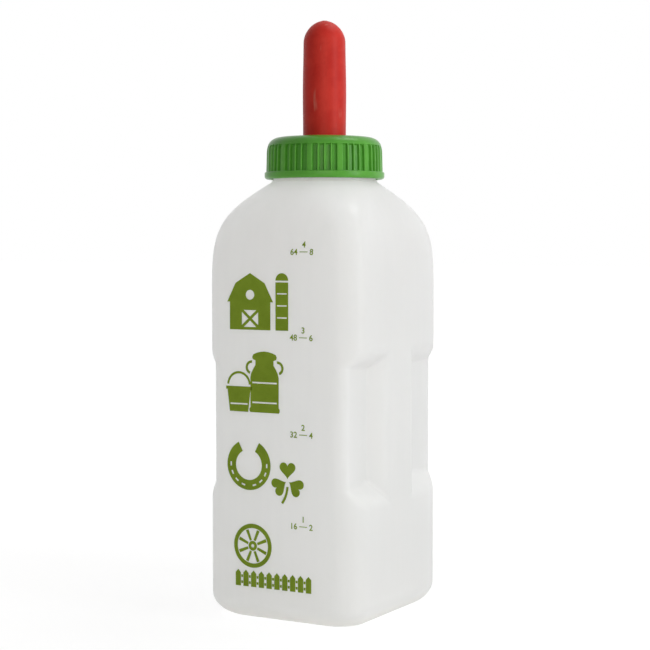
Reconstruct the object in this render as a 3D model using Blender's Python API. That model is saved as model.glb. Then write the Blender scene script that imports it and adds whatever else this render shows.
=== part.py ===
"""Livestock nursing bottle: a square blow-moulded bottle, a ribbed screw cap and a rubber nipple.

Metres, +Z up. The origin is the middle of the base, on the surface that the bottle stands on.
+X and -X are the two sides with the hand grips, and -Y is the front that carries the printed scale.
"""
import math

import bmesh
import bpy
from mathutils import Vector

for old in list(bpy.data.objects):
    bpy.data.objects.remove(old, do_unlink=True)

# Bottle body
BODY_WIDTH = 0.1013
BODY_DEPTH = 0.1074
CORNER_RADIUS = 0.0160
BASE_EDGE_RADIUS = 0.0136
BASE_CORNER_TUCK = 0.2
SHOULDER_START = 0.1841
BODY_HEIGHT = 0.2500
SHOULDER_END_SLOPE = math.radians(46)
SHOULDER_START_PULL = 0.55
SHOULDER_END_PULL = 0.99
SHOULDER_ROUNDING = 0.9
WALL = 0.0013

# Raised ring that the bottle stands on, round the pushed-up middle of the base
FOOT_WIDTH = 0.0045
PUSH_UP = 0.0035
PUSH_UP_RUN = 0.0060

# Hand grips: four notches beside the raised middle of each grip side
GRIP_BOTTOM = 0.0705
GRIP_TOP = 0.1525
GRIP_PANEL_WIDTH = 0.0310
GRIP_DEPTH = 0.0095
GRIP_CORNER_DEPTH = 0.0075
GRIP_WALL_SLOPE = 1.06
GRIP_BOTTOM_SLOPE = 0.93
GRIP_TOP_SLOPE = 1.15
GRIP_EDGE_BLEND = 0.0045
GRIP_VALLEY_BLEND = 0.0012

# Neck: a bead below the cap, then the plain finish that the cap screws over
NECK_RADIUS = 0.0308
NECK_BEAD_HEIGHT = 0.0009
FINISH_RADIUS = 0.0298
FINISH_HEIGHT = 0.0198

# Screw cap
THREAD_ROOM = 0.0018
CAP_NECK_GAP = 0.0008
CAP_WALL = 0.0015
CAP_DECK = 0.0024
CAP_DRAFT = 0.025
CAP_EDGE_RUN = 0.0101
CAP_EDGE_DROP = 0.0097
CAP_EDGE_POWER = 2.64
CAP_FLANGE_HEIGHT = 0.0041
CAP_FLANGE_REACH = 0.0018
CAP_FLANGE_FOOT_ROUND = 0.0017
CAP_FLANGE_TOP_ROUND = 0.0006
RIB_GROUPS = 12
NARROW_RIBS = 3
RIB_PITCH = math.radians(6.5)
RIB_DEPTH = 0.0009
RIB_TOP_DROP = 0.0054
NARROW_RIB_WIDTH = 0.0013
WIDE_RIB_WIDTH = 0.0037
RIB_FLANK = 0.0004

# Nipple
FLANGE_THICKNESS = 0.0024
FLANGE_GAP = 0.0007
TEAT_RADIUS = 0.0125
TEAT_SWELL = 0.0003
TEAT_TIP_RADIUS = 0.0122
TEAT_REACH = 0.0674
TEAT_DOME = 0.0111
TEAT_DOME_POWER = 1.72
TEAT_WALL = 0.0027
TEAT_TIP_WALL = 0.0045
TEAT_ROOT_FILLET = 0.0020
TIP_HOLE_RADIUS = 0.0011

# Clearances
SEAT_GAP = 0.0003
HOLE_CLEARANCE = 0.0004

# Facets
CORNER_STEPS = 6
ARC_STEPS = 6
SHOULDER_STEPS = 9
CAP_SEGMENTS = 72
NIPPLE_SEGMENTS = 40
TEAT_STEPS = 5
DOME_STEPS = 8

HALF_WIDTH = BODY_WIDTH / 2
HALF_DEPTH = BODY_DEPTH / 2
BEAD_TOP = BODY_HEIGHT + NECK_BEAD_HEIGHT
RIM = BEAD_TOP + FINISH_HEIGHT
FLANGE_BOTTOM = RIM + SEAT_GAP
FLANGE_TOP = FLANGE_BOTTOM + FLANGE_THICKNESS
DECK_BOTTOM = FLANGE_TOP + SEAT_GAP
CAP_TOP = DECK_BOTTOM + CAP_DECK
CAP_BOTTOM = BEAD_TOP + CAP_NECK_GAP
CAP_BORE_RADIUS = FINISH_RADIUS + THREAD_ROOM
GROOVE_RADIUS = CAP_BORE_RADIUS + CAP_WALL
CREST_RADIUS = GROOVE_RADIUS + RIB_DEPTH
EDGE_START = CAP_TOP - CAP_EDGE_DROP
RIB_TOP = CAP_TOP - RIB_TOP_DROP
NIPPLE_HOLE_RADIUS = TEAT_RADIUS + HOLE_CLEARANCE


def material(name, colour, roughness):
    """A Principled material in one linear colour."""
    made = bpy.data.materials.new(name)
    made.use_nodes = True
    shader = made.node_tree.nodes["Principled BSDF"]
    shader.inputs["Base Color"].default_value = (*colour, 1.0)
    shader.inputs["Roughness"].default_value = roughness
    shader.inputs["Metallic"].default_value = 0.0
    return made


def finish(bm, name, origin, surface):
    """Turn a bmesh into a named object whose origin is a point on the bottle's axis."""
    bmesh.ops.translate(bm, verts=bm.verts, vec=-origin)
    bmesh.ops.recalc_face_normals(bm, faces=bm.faces)
    mesh = bpy.data.meshes.new(name)
    bm.to_mesh(mesh)
    bm.free()
    mesh.materials.append(surface)
    mesh.shade_smooth()
    mesh.set_sharp_from_angle(angle=math.radians(35))
    made = bpy.data.objects.new(name, mesh)
    made.location = origin
    bpy.context.collection.objects.link(made)
    return made


def smooth_min(a, b, blend):
    """The lesser of two values, rounded where they are closer than the blend."""
    overlap = max(blend - abs(a - b), 0.0) / blend
    return min(a, b) - overlap * overlap * blend / 4


def arc(centre, run, rise, start, end, steps):
    """Points on an elliptical arc in the (radius, height) plane, angles in degrees from +radius."""
    points = []
    for step in range(steps + 1):
        angle = math.radians(start + (end - start) * step / steps)
        points.append((centre[0] + run * math.cos(angle), centre[1] + rise * math.sin(angle)))
    return points


def super_arc(centre, run, rise, power, start, steps):
    """Points on a superellipse in the (radius, height) plane, from an angle up to the top."""
    points = []
    for step in range(steps + 1):
        angle = start + (math.pi / 2 - start) * step / steps
        across, up = max(math.cos(angle), 0.0), math.sin(angle)
        points.append((centre[0] + run * across ** (2 / power), centre[1] + rise * up ** (2 / power)))
    return points


def rounded_box_reach(angle, half_x, half_y, corner):
    """How far a rounded rectangle reaches from its middle in one direction."""
    across, along = abs(math.cos(angle)), abs(math.sin(angle))
    flat_x, flat_y = half_x - corner, half_y - corner
    if across * flat_y >= along * half_x:
        return half_x / across
    if along * flat_x >= across * half_y:
        return half_y / along
    towards = flat_x * across + flat_y * along
    return towards + math.sqrt(max(towards ** 2 - flat_x ** 2 - flat_y ** 2 + corner ** 2, 0.0))


def grip_depth(y, z):
    """Depth of the hand grip below the side: planes for its wall, floor and two ends."""
    from_panel = abs(y) - GRIP_PANEL_WIDTH / 2
    foot = GRIP_DEPTH / GRIP_WALL_SLOPE
    floor_run = HALF_DEPTH - CORNER_RADIUS / 2 - GRIP_PANEL_WIDTH / 2 - foot
    wall = from_panel * GRIP_WALL_SLOPE
    floor = GRIP_DEPTH - (GRIP_DEPTH - GRIP_CORNER_DEPTH) * (from_panel - foot) / floor_run
    ends = min((z - GRIP_BOTTOM) * GRIP_BOTTOM_SLOPE, (GRIP_TOP - z) * GRIP_TOP_SLOPE)
    return smooth_min(smooth_min(wall, floor, GRIP_VALLEY_BLEND), ends, GRIP_VALLEY_BLEND)


def outline_angles(half_x, half_y, corner):
    """Directions of an outline's points: close together across the grips and the corners."""
    foot = GRIP_PANEL_WIDTH / 2 + GRIP_DEPTH / GRIP_WALL_SLOPE
    panel = GRIP_PANEL_WIDTH / 2
    side = [panel - GRIP_EDGE_BLEND, panel, panel + GRIP_EDGE_BLEND / 2, (panel + foot) / 2]
    side += [foot - GRIP_VALLEY_BLEND / 2, foot + GRIP_VALLEY_BLEND, (foot + HALF_DEPTH - CORNER_RADIUS) / 2]
    squeeze = (half_y - corner) / (HALF_DEPTH - CORNER_RADIUS)
    quarter = [math.atan2(y * squeeze, half_x) for y in side]
    for step in range(CORNER_STEPS + 1):
        turn = math.pi / 2 * step / CORNER_STEPS
        x = half_x - corner + corner * math.cos(turn)
        y = half_y - corner + corner * math.sin(turn)
        quarter.append(math.atan2(y, x))
    quarter.append((quarter[-1] + math.pi / 2) / 2)
    half = [0.0] + quarter + [math.pi / 2] + [math.pi - angle for angle in reversed(quarter)]
    return half + [math.pi + angle for angle in half]


def body_levels():
    """Sections of the outside from the base up: height, inset from the walls, share of shoulder."""
    levels = [(PUSH_UP, BASE_EDGE_RADIUS + FOOT_WIDTH + PUSH_UP_RUN, 0.0)]
    levels.append((0.0, BASE_EDGE_RADIUS + FOOT_WIDTH, 0.0))
    for step in range(ARC_STEPS + 1):
        turn = math.pi / 2 * step / ARC_STEPS
        inset = BASE_EDGE_RADIUS * (1 - math.sin(turn))
        levels.append((BASE_EDGE_RADIUS * (1 - math.cos(turn)), inset, 0.0))
    run_in = GRIP_DEPTH / GRIP_BOTTOM_SLOPE
    run_out = GRIP_DEPTH / GRIP_TOP_SLOPE
    for share in (-0.15, 0.1, 0.35, 0.6, 0.85, 1.15):
        levels.append((GRIP_BOTTOM + run_in * share, 0.0, 0.0))
    for share in (1.2, 0.85, 0.6, 0.35, 0.1, -0.2):
        levels.append((GRIP_TOP - run_out * share, 0.0, 0.0))
    height = BODY_HEIGHT - SHOULDER_START
    inset = HALF_WIDTH - NECK_RADIUS
    end = Vector((inset, height))
    rise = Vector((0.0, SHOULDER_START_PULL * height))
    approach = end - SHOULDER_END_PULL * inset * Vector((1.0, math.tan(SHOULDER_END_SLOPE)))
    for step in range(SHOULDER_STEPS + 1):
        t = step / SHOULDER_STEPS
        point = 3 * (1 - t) ** 2 * t * rise + 3 * (1 - t) * t * t * approach + t ** 3 * end
        levels.append((SHOULDER_START + point.y, point.x, point.x / inset))
    return levels


def body_ring(bm, height, inset, share):
    """One outline of the body, from rounded square at the walls to round at the neck."""
    taper = (HALF_DEPTH - NECK_RADIUS) / (HALF_WIDTH - NECK_RADIUS) if share else 1.0
    half_x = HALF_WIDTH - inset
    half_y = HALF_DEPTH - inset * taper
    corner = CORNER_RADIUS - inset * BASE_CORNER_TUCK
    angles = outline_angles(half_x, half_y, corner)
    if share:
        corner = CORNER_RADIUS + (NECK_RADIUS - CORNER_RADIUS) * share ** SHOULDER_ROUNDING
        angles = outline_angles(HALF_WIDTH, HALF_DEPTH, CORNER_RADIUS)
    ring = []
    for angle in angles:
        reach = rounded_box_reach(angle, half_x, half_y, corner)
        x, y = reach * math.cos(angle), reach * math.sin(angle)
        if GRIP_BOTTOM - GRIP_EDGE_BLEND < height < GRIP_TOP + GRIP_EDGE_BLEND:
            x = math.copysign(smooth_min(abs(x), half_x - grip_depth(y, height), GRIP_EDGE_BLEND), x)
        ring.append(bm.verts.new((x, y, height)))
    return ring


def round_ring(bm, angles, radius, height):
    """One round outline, for the neck."""
    return [bm.verts.new((radius * math.cos(a), radius * math.sin(a), height)) for a in angles]


def join_rings(bm, lower, upper):
    """A band of faces between two outlines with the same number of points."""
    for index in range(len(lower)):
        after = (index + 1) % len(lower)
        bm.faces.new((lower[index], lower[after], upper[after], upper[index]))


def make_bottle():
    """The bottle: one skin from the pushed-up base to the open neck, thickened inwards."""
    bm = bmesh.new()
    rings = [body_ring(bm, *level) for level in body_levels()]
    angles = outline_angles(HALF_WIDTH, HALF_DEPTH, CORNER_RADIUS)
    rings.append(round_ring(bm, angles, NECK_RADIUS, BEAD_TOP))
    rings.append(round_ring(bm, angles, FINISH_RADIUS, BEAD_TOP))
    rings.append(round_ring(bm, angles, FINISH_RADIUS, RIM))
    for lower, upper in zip(rings, rings[1:]):
        join_rings(bm, lower, upper)
    bm.faces.new(list(reversed(rings[0])))
    bmesh.ops.dissolve_limit(bm, angle_limit=math.radians(0.4), verts=bm.verts, edges=bm.edges)
    plastic = material("milky_plastic", (0.72, 0.72, 0.69), 0.42)
    bottle = finish(bm, "bottle", Vector((0.0, 0.0, 0.0)), plastic)
    skin = bottle.modifiers.new("wall", "SOLIDIFY")
    skin.thickness = WALL
    skin.offset = -1.0
    skin.use_even_offset = True
    return bottle


def revolve(bm, outline, segments):
    """Turn a closed outline of (radius, height) points round the axis."""
    rings = []
    for radius, height in outline:
        turns = [2 * math.pi * index / segments for index in range(segments)]
        rings.append(round_ring(bm, turns, radius, height))
    for lower, upper in zip(rings, rings[1:] + rings[:1]):
        join_rings(bm, lower, upper)


def rib_places():
    """Direction and width of every rib: each group is one wide rib and some narrow ones."""
    group = 2 * math.pi / RIB_GROUPS
    places = []
    for turn in range(RIB_GROUPS):
        centre = group * (turn + 0.5)
        places.append((centre, WIDE_RIB_WIDTH))
        for rib in range(NARROW_RIBS):
            offset = (rib - (NARROW_RIBS - 1) / 2) * RIB_PITCH
            places.append((centre + group / 2 + offset, NARROW_RIB_WIDTH))
    return places


def cap_outside(height):
    """Radius of the cap over its ribs: a drafted wall, then the top edge's superellipse."""
    wall = CREST_RADIUS - CAP_DRAFT * (height - CAP_BOTTOM)
    up = max(height - EDGE_START, 0.0) / CAP_EDGE_DROP
    return wall - CAP_EDGE_RUN * (1 - (1 - up ** CAP_EDGE_POWER) ** (1 / CAP_EDGE_POWER))


def make_ribs():
    """The ribs as one group of bars, rooted in the wall, the flange and the top edge."""
    bm = bmesh.new()
    root = CAP_BORE_RADIUS + CAP_WALL / 2
    heights = [CAP_BOTTOM + CAP_FLANGE_HEIGHT / 2, EDGE_START, (EDGE_START + RIB_TOP) / 2, RIB_TOP + RIB_FLANK]
    for direction, width in rib_places():
        across = Vector((-math.sin(direction), math.cos(direction), 0.0))
        outwards = Vector((math.cos(direction), math.sin(direction), 0.0))
        levels = []
        for height in heights:
            crest = cap_outside(height)
            half = width / 2
            plan = ((root, -half - RIB_FLANK), (root, half + RIB_FLANK), (crest, half), (crest, -half))
            levels.append([bm.verts.new(outwards * r + across * s + Vector((0, 0, height))) for r, s in plan])
        for lower, upper in zip(levels, levels[1:]):
            join_rings(bm, lower, upper)
        bm.faces.new(list(reversed(levels[0])))
        bm.faces.new(levels[-1])
    ribs = finish(bm, "rib_bars", Vector((0.0, 0.0, CAP_BOTTOM)), material("rib_plastic", (0.5, 0.5, 0.5), 0.5))
    ribs.hide_render = True
    ribs.display_type = "WIRE"
    return ribs


def make_cap():
    """The screw cap: a turned shell with a hole for the nipple, a foot flange and grip ribs."""
    flange_radius = GROOVE_RADIUS + CAP_FLANGE_REACH
    flange_top = CAP_BOTTOM + CAP_FLANGE_HEIGHT
    foot, lip = CAP_FLANGE_FOOT_ROUND, CAP_FLANGE_TOP_ROUND
    edge_radius = CREST_RADIUS - CAP_DRAFT * (EDGE_START - CAP_BOTTOM) - CAP_EDGE_RUN
    edge_angle = math.asin(((RIB_TOP + RIB_FLANK - EDGE_START) / CAP_EDGE_DROP) ** (CAP_EDGE_POWER / 2))
    outline = [(CAP_BORE_RADIUS, CAP_BOTTOM)]
    outline += arc((flange_radius - foot, CAP_BOTTOM + foot), foot, foot, -80, 0, 3)
    outline += arc((flange_radius - lip, flange_top - lip), lip, lip, 20, 80, 2)
    for height in (flange_top, RIB_TOP - RIB_FLANK):
        outline.append((cap_outside(height) - RIB_DEPTH, height))
    outline += super_arc((edge_radius, EDGE_START), CAP_EDGE_RUN, CAP_EDGE_DROP, CAP_EDGE_POWER, edge_angle, 6)
    outline.append((NIPPLE_HOLE_RADIUS, CAP_TOP))
    outline.append((NIPPLE_HOLE_RADIUS, DECK_BOTTOM))
    outline.append((CAP_BORE_RADIUS, DECK_BOTTOM))
    bm = bmesh.new()
    revolve(bm, outline, CAP_SEGMENTS)
    green = material("green_plastic", (0.062, 0.255, 0.031), 0.35)
    cap = finish(bm, "screw_cap", Vector((0.0, 0.0, CAP_BOTTOM)), green)
    join = cap.modifiers.new("ribs", "BOOLEAN")
    join.operation = "UNION"
    join.object = make_ribs()
    return cap


def teat_profile(share):
    """Outer radius of the teat from the deck (0) to the start of its dome (1)."""
    swell = TEAT_SWELL * math.sin(math.pi * share) ** 2
    return TEAT_RADIUS + (TEAT_TIP_RADIUS - TEAT_RADIUS) * share + swell


def make_nipple():
    """The nipple: a flange clamped on the rim, a hollow teat through the cap and a small tip hole."""
    tip = CAP_TOP + TEAT_REACH
    dome_start = tip - TEAT_DOME
    flange_radius = CAP_BORE_RADIUS - FLANGE_GAP
    root_radius = NIPPLE_HOLE_RADIUS - HOLE_CLEARANCE
    outline = [(flange_radius, FLANGE_BOTTOM), (flange_radius, FLANGE_TOP), (root_radius, FLANGE_TOP)]
    for step in range(TEAT_STEPS + 1):
        share = step / TEAT_STEPS
        outline.append((teat_profile(share), CAP_TOP + (dome_start - CAP_TOP) * share))
    dome = super_arc((0.0, dome_start), TEAT_TIP_RADIUS, TEAT_DOME, TEAT_DOME_POWER, 0.0, DOME_STEPS)
    outline += [point for point in dome[1:] if point[0] > 2 * TIP_HOLE_RADIUS]
    outline.append((TIP_HOLE_RADIUS, tip))
    outline.append((TIP_HOLE_RADIUS, tip - TEAT_TIP_WALL))
    bore = TEAT_TIP_RADIUS - TEAT_WALL
    inner_dome = TEAT_DOME - TEAT_TIP_WALL / 2
    for turn in (65, 40, 0):
        angle = math.radians(turn)
        height = tip - TEAT_TIP_WALL - inner_dome * (1 - math.sin(angle))
        outline.append((bore * math.cos(angle), height))
    outline.append((bore, FLANGE_TOP))
    outline.append((bore + TEAT_ROOT_FILLET, FLANGE_BOTTOM))
    bm = bmesh.new()
    revolve(bm, outline, NIPPLE_SEGMENTS)
    rubber = material("red_rubber", (0.42, 0.028, 0.019), 0.6)
    return finish(bm, "nipple", Vector((0.0, 0.0, FLANGE_BOTTOM)), rubber)


make_bottle()
make_cap()
make_nipple()
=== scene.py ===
import math

import bmesh
import bpy
import numpy
from mathutils import Matrix, Vector
from mathutils.bvhtree import BVHTree


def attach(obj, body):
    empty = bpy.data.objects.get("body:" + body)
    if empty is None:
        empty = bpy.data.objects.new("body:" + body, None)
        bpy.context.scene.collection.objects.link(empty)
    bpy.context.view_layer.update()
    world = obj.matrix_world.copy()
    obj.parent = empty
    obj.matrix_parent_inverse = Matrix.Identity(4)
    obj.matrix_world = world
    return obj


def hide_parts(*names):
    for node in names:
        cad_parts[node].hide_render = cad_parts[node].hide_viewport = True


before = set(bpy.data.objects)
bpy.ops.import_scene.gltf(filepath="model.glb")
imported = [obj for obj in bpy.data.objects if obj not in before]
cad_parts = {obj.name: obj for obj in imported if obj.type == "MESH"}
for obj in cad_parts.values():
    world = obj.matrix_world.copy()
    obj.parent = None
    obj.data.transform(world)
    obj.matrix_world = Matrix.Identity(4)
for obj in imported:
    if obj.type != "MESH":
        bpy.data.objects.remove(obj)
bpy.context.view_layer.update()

# Camera, as fitted to the outline in the photograph, in millimetres for the lens and its sensor
CAMERA_TURN = math.radians(29.87)
CAMERA_REACH = 0.980
CAMERA_HEIGHT = 0.2164
CAMERA_TILT = math.radians(2.9)
CAMERA_YAW = math.radians(-0.017)
CAMERA_LENS = 92.785
CAMERA_SENSOR = 36.0

# Light from all round, as a share of white
WORLD_LIGHT = 0.13

# Soft boxes: name, degrees to the right of the camera, reach, height, size, watts and tint
PLAIN_LIGHT = (1.0, 1.0, 1.0)
SOFT_BOXES = (
    ("key_softbox", 60, 1.0, 0.45, (0.24, 1.0), 4.8, (0.975, 0.985, 1.0)),
    ("front_fill", 0, 1.6, 0.65, (0.9, 0.9), 5.45, (1.0, 0.98, 0.80)),
    ("top_softbox", 110, 0.48, 1.3, (0.40, 0.40), 3.0, PLAIN_LIGHT),
    ("back_softbox", 115, 1.2, 0.5, (0.6, 1.0), 0.7, PLAIN_LIGHT),
    ("left_softbox", -95, 1.3, 0.5, (0.6, 1.0), 0.2, PLAIN_LIGHT),
)
SOFT_BOX_AIM = 0.16

# Floor: its half width, how pale it is, how pale where it shows the shadow, its glow there, and from
# where to where the shadow fades
FLOOR_SIZE = 12.0
FLOOR_PAPER = 0.8
FLOOR_SHADE = 0.20
FLOOR_GLOW = 0.90
SHADOW_REACH = (0.15, 0.60)

# Colours as they look on screen, 0 to 255; a pair is the two tones of one mottled finish
MILKY = ((240, 241, 241), (246, 246, 246))
MILKY_FOOT = (242, 238, 226)
MILKY_THROUGH = (250, 250, 250)
# The darker cap green is its own colour and paints shade into the rib grooves; the paler one paints the
# ribs and top edge as lit
GREEN_BODY_AND_GROOVE_SHADE = ((76, 152, 46), (86, 164, 54))
GREEN_PAINTED_LIT_RIBS = ((91, 170, 58), (101, 182, 66))
RUBBER_RED = ((207, 46, 38), (221, 58, 48))
RUBBER_SCUFFED = (222, 128, 116)
OLIVE = ((138, 165, 46), (152, 179, 56))

# How deep the bumps of each finish go
MILKY_RELIEF = 0.00018
GREEN_RELIEF = 0.00006
RUBBER_RELIEF = 0.00005
INK_RELIEF = 0.00003

# Milky wall: the share of the light that comes through it, and how high its yellower foot reaches
SHARE_THROUGH = 0.72
FOOT_TINT_HEIGHT = 0.010

# Green skin: how far out of its groove a rib starts to lose the painted shade of the grooves, and from
# where to where, counted from the ribs' tops, and how much the edge above them is painted paler as if lit
GROOVE_SHADE_END = 0.0003
PAINTED_LIT_TOP_BLEND = (-0.0003, 0.0006)
PAINTED_LIT_TOP_SHARE = 0.4

# Bottle body, with the sizes that its solid has
BODY_WIDTH = 0.1013
BODY_DEPTH = 0.1074
CORNER_RADIUS = 0.0160
BASE_EDGE_RADIUS = 0.0136
BASE_CORNER_TUCK = 0.2
SHOULDER_START = 0.1841
BODY_HEIGHT = 0.2500
SHOULDER_END_SLOPE = math.radians(46)
SHOULDER_START_PULL = 0.55
SHOULDER_END_PULL = 0.99
SHOULDER_ROUNDING = 0.9
WALL = 0.0013
FOOT_WIDTH = 0.0045
PUSH_UP = 0.0035
PUSH_UP_RUN = 0.0060

# Hand grips
GRIP_BOTTOM = 0.0705
GRIP_TOP = 0.1525
GRIP_PANEL_WIDTH = 0.0310
GRIP_DEPTH = 0.0095
GRIP_CORNER_DEPTH = 0.0075
GRIP_WALL_SLOPE = 1.06
GRIP_BOTTOM_SLOPE = 0.93
GRIP_TOP_SLOPE = 1.15
GRIP_EDGE_BLEND = 0.0045
GRIP_VALLEY_BLEND = 0.0012

# Neck and its thread
NECK_RADIUS = 0.0308
NECK_BEAD_HEIGHT = 0.0009
FINISH_RADIUS = 0.0298
FINISH_HEIGHT = 0.0198
NECK_ROUND = 0.0004
THREAD_PITCH = 0.0042
THREAD_DEPTH = 0.0012
THREAD_WIDTH = 0.0019
THREAD_CREST = 0.0009
THREAD_TURNS = 2.5
THREAD_START = 0.0046

# How a thread is drawn: steps in a turn, how soon and how far it fades at its ends, how deep it is rooted
THREAD_STEPS = 96
THREAD_FADE = 12.0
THREAD_END = 0.12
THREAD_ROOT = 0.3

# Screw cap; its grooves are a little deeper and its ribs narrower and rounder than its solid's
THREAD_ROOM = 0.0018
CAP_NECK_GAP = 0.0008
CAP_WALL = 0.0012
CAP_DECK = 0.0024
CAP_DRAFT = 0.025
CAP_EDGE_RUN = 0.0101
CAP_EDGE_DROP = 0.0097
CAP_EDGE_POWER = 2.64
CAP_FLANGE_HEIGHT = 0.0041
CAP_FLANGE_REACH = 0.0021
CAP_FLANGE_FOOT_ROUND = 0.0017
CAP_FLANGE_TOP_ROUND = 0.0006
CAP_SMALL_ROUND = 0.0004
CAP_SEGMENTS = 192
GROOVE_RUNOUT_POWER = 1.5
RIB_GROUPS = 12
RIBS_IN_GROUP = 4
RIB_PITCH = math.radians(6.5)
RIB_DEPTH = 0.0012
RIB_TOP_DROP = 0.0054
NARROW_RIB_WIDTH = 0.0010
WIDE_RIB_WIDTH = 0.0033
RIB_FLANK = 0.0004
RIB_ROUND = 0.00030

# Nipple; its dome is a little rounder than its solid's
SEAT_GAP = 0.0003
FLANGE_THICKNESS = 0.0024
FLANGE_GAP = 0.0007
TEAT_RADIUS = 0.0125
TEAT_SWELL = 0.0003
TEAT_TIP_RADIUS = 0.0122
TEAT_REACH = 0.0674
TEAT_DOME = 0.0128
TEAT_DOME_POWER = 1.9
TEAT_WALL = 0.0027
TEAT_TIP_WALL = 0.0045
TEAT_ROOT_FILLET = 0.0020
TIP_HOLE_RADIUS = 0.0011
TIP_HOLE_ROUND = 0.0004
HOLE_CLEARANCE = 0.0004
FLANGE_ROUND = 0.0005
NIPPLE_SEGMENTS = 96

# Print: the heights of the scale's four dashes, as in the photograph, the places and weight of its
# numbers, and the ink's own thickness
MARK_HEIGHTS = (0.0570, 0.1083, 0.1624, 0.2099)
MARK_LEFT = 0.0146
MARK_RIGHT = 0.0197
MARK_GAP = 0.0013
MARK_LINE = 0.00045
MARK_TEXT = 0.0047
MARK_BOLD = 0.018
MARK_DROP = 0.34
COUNT_RISE = 0.0041
INK_LIFT = 0.00005
INK_THICKNESS = 0.00010
INK_SLICE = 0.0015

# Sizes, radii and heights that follow from these, and a millimetre
HALF_WIDTH = BODY_WIDTH / 2
HALF_DEPTH = BODY_DEPTH / 2
BEAD_TOP = BODY_HEIGHT + NECK_BEAD_HEIGHT
RIM = BEAD_TOP + FINISH_HEIGHT
FLANGE_BOTTOM = RIM + SEAT_GAP
FLANGE_TOP = FLANGE_BOTTOM + FLANGE_THICKNESS
DECK_BOTTOM = FLANGE_TOP + SEAT_GAP
CAP_TOP = DECK_BOTTOM + CAP_DECK
CAP_BOTTOM = BEAD_TOP + CAP_NECK_GAP
CAP_BORE_RADIUS = FINISH_RADIUS + THREAD_ROOM
GROOVE_RADIUS = CAP_BORE_RADIUS + CAP_WALL
CREST_RADIUS = GROOVE_RADIUS + RIB_DEPTH
EDGE_START = CAP_TOP - CAP_EDGE_DROP
RIB_TOP = CAP_TOP - RIB_TOP_DROP
NIPPLE_HOLE_RADIUS = TEAT_RADIUS + HOLE_CLEARANCE
MM = 0.001

# Points of a mesh closer than this are one: in ribs and threads, and in print
WELD = 1e-6
PRINT_WELD = 2e-6


# Nodes


class Value:
    """An output of a node that Python's own operators work on."""

    def __init__(self, nodes, socket):
        self.nodes = nodes
        self.socket = socket

    def __add__(self, other):
        return self.nodes.math("ADD", self, other)

    __radd__ = __add__

    def __mul__(self, other):
        return self.nodes.math("MULTIPLY", self, other)

    __rmul__ = __mul__

    def __sub__(self, other):
        return self.nodes.math("SUBTRACT", self, other)

    def __rsub__(self, other):
        return self.nodes.math("SUBTRACT", other, self)

    def __truediv__(self, other):
        return self.nodes.math("DIVIDE", self, other)

    def __rtruediv__(self, other):
        return self.nodes.math("DIVIDE", other, self)

    def clamp(self):
        """The value held between 0 and 1."""
        return self.nodes.math("ADD", self, 0.0, clamp=True)

    def step(self, low, high):
        """0 below low, 1 above high, smooth between them."""
        settings = {"interpolation_type": "SMOOTHSTEP"}
        inputs = {"Value": self, "From Min": low, "From Max": high}
        return self.nodes.node("ShaderNodeMapRange", settings, inputs)["Result"]


class Nodes:
    """A node tree whose nodes are made by short calls."""

    def __init__(self, tree):
        self.tree = tree

    def link(self, value, slot):
        """Feed a socket with a value, a number, a colour or, where it takes several, a list of values."""
        if isinstance(value, list):
            for one in value:
                self.link(one, slot)
        elif isinstance(value, Value):
            self.tree.links.new(value.socket, slot)
        else:
            slot.default_value = value

    def node(self, kind, settings=None, inputs=None):
        """Any node: its settings first, then its sockets by name or number. Gives its outputs by name."""
        made = self.tree.nodes.new(kind)
        for name, value in (settings or {}).items():
            setattr(made, name, value)
        for name, value in (inputs or {}).items():
            self.link(value, made.inputs[name])
        return {out.name: Value(self, out) for out in made.outputs if out.enabled}

    def math(self, operation, *values, clamp=False):
        """One Math node on values and numbers."""
        settings = {"operation": operation, "use_clamp": clamp}
        return self.node("ShaderNodeMath", settings, dict(enumerate(values)))["Value"]

    def mix_shader(self, share, first, second):
        """A shader between two shaders."""
        return self.node("ShaderNodeMixShader", None, {0: share, 1: first, 2: second})["Shader"]


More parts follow.
